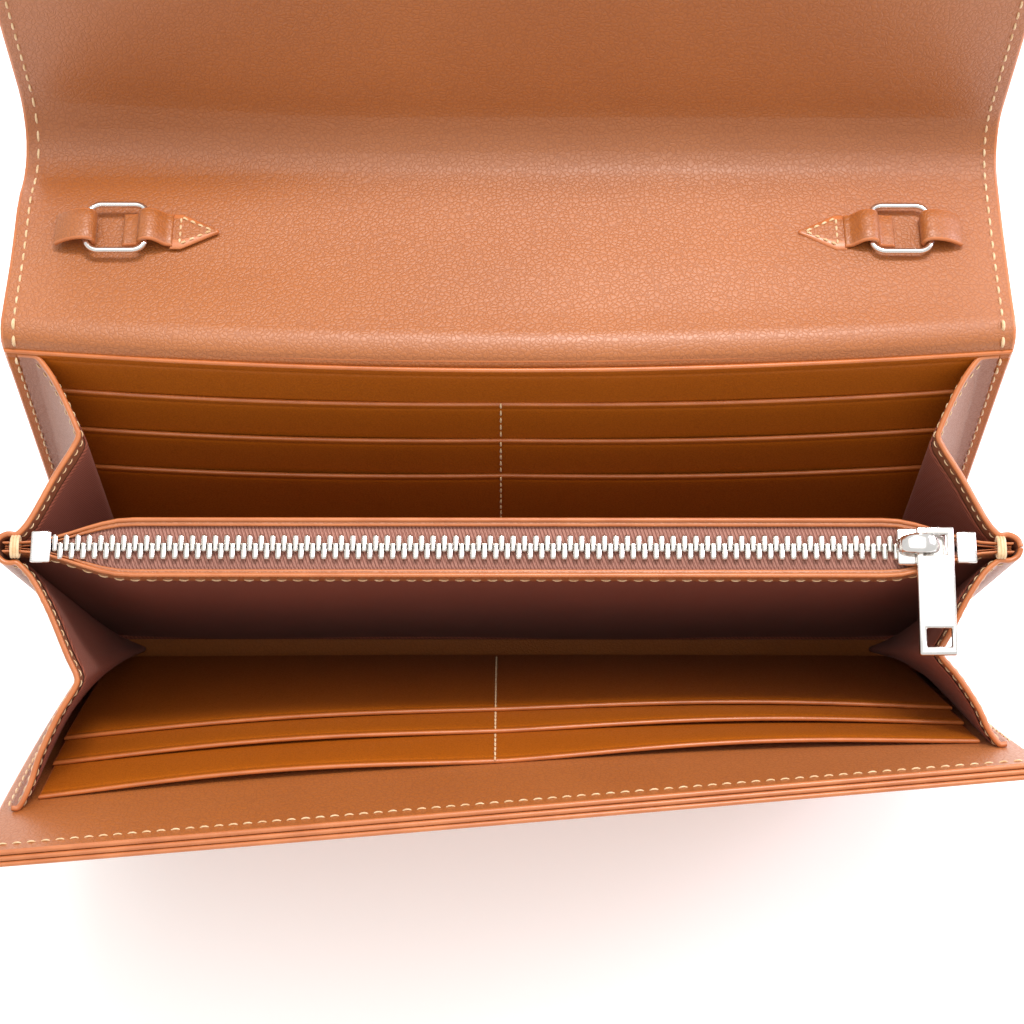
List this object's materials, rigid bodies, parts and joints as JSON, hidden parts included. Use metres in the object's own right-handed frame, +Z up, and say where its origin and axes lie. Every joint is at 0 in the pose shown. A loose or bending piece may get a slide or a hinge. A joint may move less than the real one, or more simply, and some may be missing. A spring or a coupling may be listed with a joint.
{
  "type": "long wallet",
  "caption": "Long accordion wallet in tan leather, mouth open: folding gussets, a zip pocket in the middle, card slots front and back, a fold-over flap and strap rings inside it.",
  "frame": {"origin": "middle of the base's underside in X, under the zip pocket's fold line in Y, on the surface it stands on", "axes": "+X along the wallet's width to the right, +Y to the back panel and flap, +Z up"},
  "size_m": [0.19, 0.1365, 0.1802],
  "materials": {
    "tan_leather": "fine pebble grain, satin",
    "pocket_leather": "smooth, satin",
    "mauve_twill": "fine twill, matt",
    "zip_tape": "woven, matt",
    "thread": "twisted waxed thread",
    "polished_metal": "polished nickel",
    "magnet_steel": "plain",
    "stiffener_board": "bonded fibre board"
  },
  "bodies": {
    "body_back": {"back_board": "stiffener_board", "back_card_slot_1": "pocket_leather", "back_card_slot_2": "pocket_leather", "back_card_slot_3": "pocket_leather", "back_full_pocket": "pocket_leather", "back_lining": "pocket_leather", "back_outer_leather": "tan_leather", "base_leather": "tan_leather", "base_lining": "pocket_leather", "left_rear_gusset": "tan_leather", "left_rear_gusset_lining": "mauve_twill", "right_rear_gusset": "tan_leather", "right_rear_gusset_lining": "mauve_twill"},
    "zip_pocket": {"zip_front_facing": "tan_leather", "zip_front_panel": "mauve_twill", "zip_front_tape": "zip_tape", "zip_front_teeth": "polished_metal", "zip_left_stop": "polished_metal", "zip_pocket_spine": "mauve_twill", "zip_rear_facing": "tan_leather", "zip_rear_panel": "mauve_twill", "zip_rear_tape": "zip_tape", "zip_rear_teeth": "polished_metal", "zip_right_stop": "polished_metal", "left_front_gusset": "tan_leather", "left_front_gusset_lining": "mauve_twill", "right_front_gusset": "tan_leather", "right_front_gusset_lining": "mauve_twill", "left_zip_end_tack": "thread", "right_zip_end_tack": "thread"},
    "front_panel": {"front_board": "stiffener_board", "front_card_slot_1": "pocket_leather", "front_card_slot_2": "pocket_leather", "front_card_slot_3": "pocket_leather", "front_lining": "pocket_leather", "front_magnet": "magnet_steel", "front_outer_leather": "tan_leather"},
    "zip_slider": {"zip_slider": "polished_metal"},
    "zip_pull": {"zip_pull": "polished_metal"},
    "flap_top": {"flap_top_board": "stiffener_board", "flap_top_lining": "pocket_leather", "flap_top_outer_leather": "tan_leather", "left_ring_tab": "tan_leather", "left_ring_tab_patch": "tan_leather", "right_ring_tab": "tan_leather", "right_ring_tab_patch": "tan_leather"},
    "flap_front": {"flap_front_board": "stiffener_board", "flap_front_lining": "pocket_leather", "flap_front_magnet": "magnet_steel", "flap_front_outer_leather": "tan_leather"},
    "left_ring": {"left_strap_ring": "polished_metal", "left_ring_keeper": "tan_leather"},
    "right_ring": {"right_strap_ring": "polished_metal", "right_ring_keeper": "tan_leather"}
  },
  "joints": [
    {"name": "flap_fold", "type": "hinge", "parent": "body_back", "child": "flap_top", "pos_m": [0, 0.015, 0.10103], "axis": [1, 0, 0], "range_deg": [0, 165]},
    {"name": "zip_pocket_fold", "type": "hinge", "parent": "body_back", "child": "zip_pocket", "pos_m": [0, 0, 0.0028], "axis": [-1, 0, 0], "range_deg": [0, 16.5], "deforming": ["left_rear_gusset", "left_rear_gusset_lining", "right_rear_gusset", "right_rear_gusset_lining"]},
    {"name": "front_panel_fold", "type": "hinge", "parent": "zip_pocket", "child": "front_panel", "pos_m": [0, -0.009, 0.0018], "axis": [-1, 0, 0], "range_deg": [0, 16], "deforming": ["left_front_gusset", "left_front_gusset_lining", "right_front_gusset", "right_front_gusset_lining"]},
    {"name": "flap_bend", "type": "hinge", "parent": "flap_top", "child": "flap_front", "pos_m": [0, 0.04929, 0.10345], "axis": [1, 0, 0], "range_deg": [0, 27]},
    {"name": "zip_slide", "type": "slide", "parent": "zip_pocket", "child": "zip_slider", "axis": [-1, 0, 0], "range_m": [0, 0.153]},
    {"name": "pull_turn", "type": "hinge", "parent": "zip_slider", "child": "zip_pull", "pos_m": [0.0785, -0.02167, 0.08659], "axis": [0, -0.2504, 0.9681], "range_deg": [-25, 30]},
    {"name": "left_ring_swing", "type": "hinge", "parent": "flap_top", "child": "left_ring", "pos_m": [-0.06895, 0.03668, 0.10526], "axis": [0, 0.9959, 0.0902], "range_deg": [0, 120]},
    {"name": "right_ring_swing", "type": "hinge", "parent": "flap_top", "child": "right_ring", "pos_m": [0.06895, 0.03668, 0.10526], "axis": [0, -0.9959, -0.0902], "range_deg": [0, 120]}
  ],
  "couplings": [
    {"joint": "zip_pocket_fold", "follows": "flap_fold", "ratio": 0.1},
    {"joint": "front_panel_fold", "follows": "flap_fold", "ratio": 0.09697},
    {"joint": "flap_bend", "follows": "flap_fold", "ratio": 0.16364}
  ]
}
